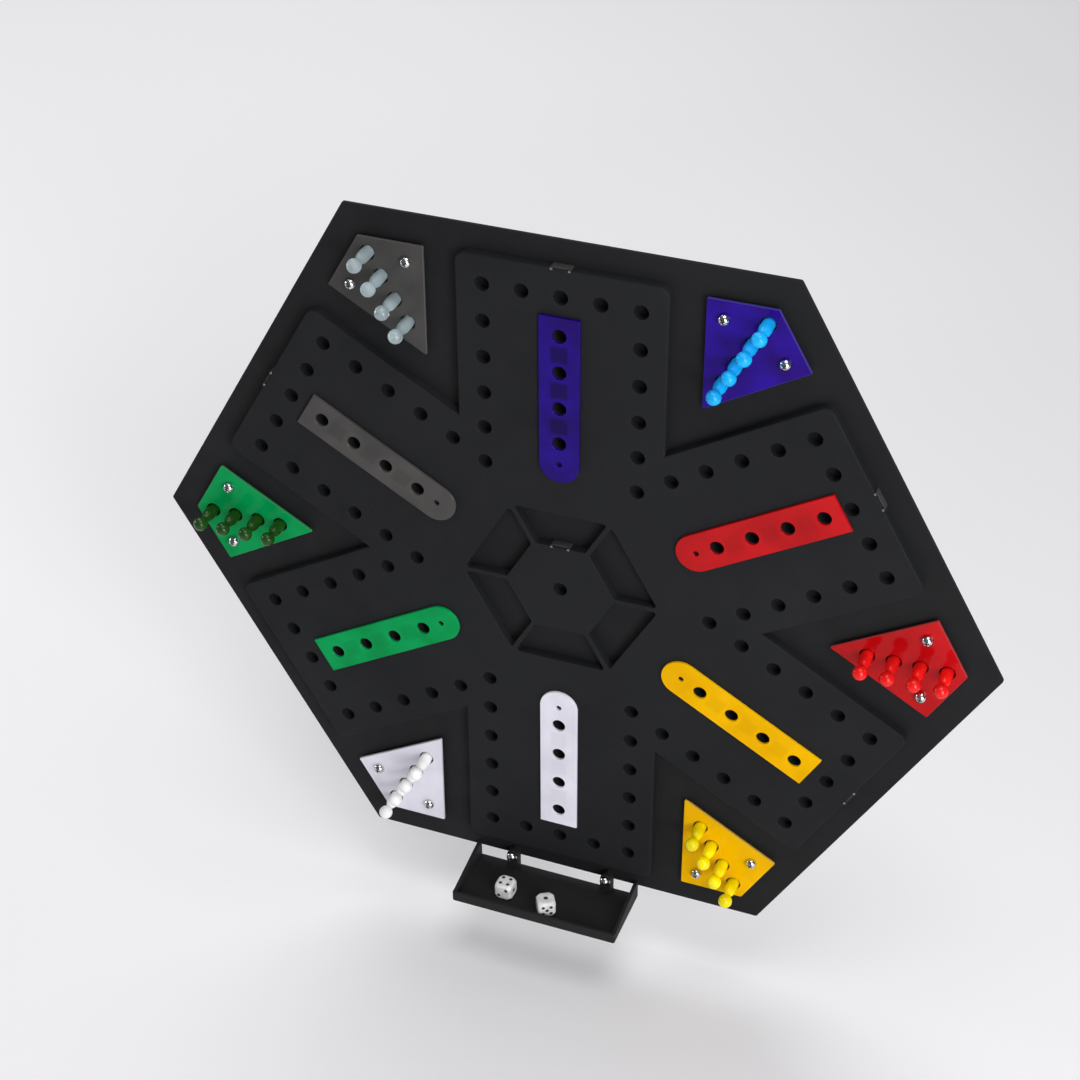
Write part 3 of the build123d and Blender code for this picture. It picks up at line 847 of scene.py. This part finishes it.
def make_die(name, finishes):
    """A die where its node lies, with its pips sunk in and painted."""
    low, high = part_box(name)
    centre = (low + high) / 2
    side = high.z - low.z
    shown = DIE_FACES[name]
    place = Matrix.Translation(centre) @ Matrix.Rotation(math.radians(shown["turn"]), 4, "Z")

    def pips(shape):
        for number, turn in face_turns(shown).items():
            radius = SINGLE_PIP_RADIUS if number == 1 else PIP_RADIUS
            ball = (radius ** 2 + PIP_DEPTH ** 2) / (2 * PIP_DEPTH)
            height = side / 2 + ball - PIP_DEPTH
            for column, row in PIP_PATTERNS[number]:
                spot = Matrix.Translation((column * PIP_SPACING, row * PIP_SPACING, height))
                bmesh.ops.create_uvsphere(shape, u_segments=PIP_SIDES, v_segments=PIP_RINGS,
                                          radius=ball, matrix=place @ turn @ spot)
        for face in shape.faces:
            face.material_index = SECOND_FINISH

    mesh = mesh_of(lambda shape: rounded_cube(shape, side, place), name)
    die = new_object(f"{name}_cube", mesh, finishes)
    carve(die, new_object(f"{name}_pips", mesh_of(pips, f"{name}_pips"), finishes))
    smooth(die.data, DIE_SHARP)
    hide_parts(name)
    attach(die, f"{name}_body")


def make_dice():
    """Both dice, in one plastic and one paint."""
    finishes = [die_plastic(), pip_paint()]
    for name in DIE_FACES:
        make_die(name, finishes)


# Studio


def make_floor():
    """A plain pale floor, a little under the tray."""
    place = Matrix.Translation((0, 0, cad_low.z - FLOOR_DROP))

    def disc(shape):
        bmesh.ops.create_circle(shape, cap_ends=True, segments=FLOOR_SIDES, radius=FLOOR_RADIUS,
                                matrix=place)

    look = Nodes("studio_floor")
    look.surface(
        Base_Color=look.drift(0.7, 2.0, [(0.3, (0.79, 0.785, 0.8)), (0.7, (0.82, 0.815, 0.83))]),
        Roughness=0.75,
        Specular_IOR_Level=0.2,
    )
    new_object("floor", mesh_of(disc, "floor"), [look.material])


def make_light(name, place, target, size, power, colour):
    """A soft rectangular light aimed at a point."""
    data = bpy.data.lights.new(name, "AREA")
    data.shape = "RECTANGLE"
    data.size, data.size_y = size
    data.energy = power
    data.color = colour
    light = bpy.data.objects.new(name, data)
    bpy.context.scene.collection.objects.link(light)
    light.location = place
    light.rotation_euler = (Vector(target) - Vector(place)).to_track_quat("-Z", "Y").to_euler()


def make_studio():
    """A dim, even sky, the soft lights, and a plain view of the colours."""
    world = bpy.data.worlds.new("studio")
    world.use_nodes = True
    sky = world.node_tree.nodes["Background"].inputs
    sky["Color"].default_value = SKY_COLOUR
    sky["Strength"].default_value = SKY_STRENGTH
    bpy.context.scene.world = world
    for name, settings in LIGHTS.items():
        make_light(name, *settings)
    bpy.context.scene.view_settings.view_transform = "Standard"


def make_camera():
    """The camera of the photograph: its place, direction, roll and focal length."""
    azimuth = math.radians(CAMERA_AZIMUTH)
    down = math.radians(CAMERA_DOWN)
    roll = math.radians(CAMERA_ROLL)
    level = math.cos(down)
    forward = Vector((math.sin(azimuth) * level, math.cos(azimuth) * level, -math.sin(down)))
    right = forward.cross(Vector((0, 0, 1))).normalized()
    up = right.cross(forward)
    turned_right = right * math.cos(roll) + up * math.sin(roll)
    turned_up = up * math.cos(roll) - right * math.sin(roll)
    data = bpy.data.cameras.new("photo_camera")
    data.sensor_width = SENSOR
    data.lens = FOCAL_PIXELS / PHOTO_PIXELS * SENSOR
    data.clip_start = CAMERA_NEAR
    data.clip_end = CAMERA_FAR
    camera = bpy.data.objects.new("photo_camera", data)
    bpy.context.scene.collection.objects.link(camera)
    axes = Matrix((turned_right, turned_up, -forward)).transposed().to_4x4()
    camera.matrix_world = Matrix.Translation(CAMERA_PLACE) @ axes
    bpy.context.scene.camera = camera


def main():
    """Dresses the plates, puts the finer pieces in their nodes' places, and sets up the studio."""
    dress_plates()
    make_pegs()
    make_clips()
    make_all_screws()
    make_dice()
    make_floor()
    make_studio()
    make_camera()


main()
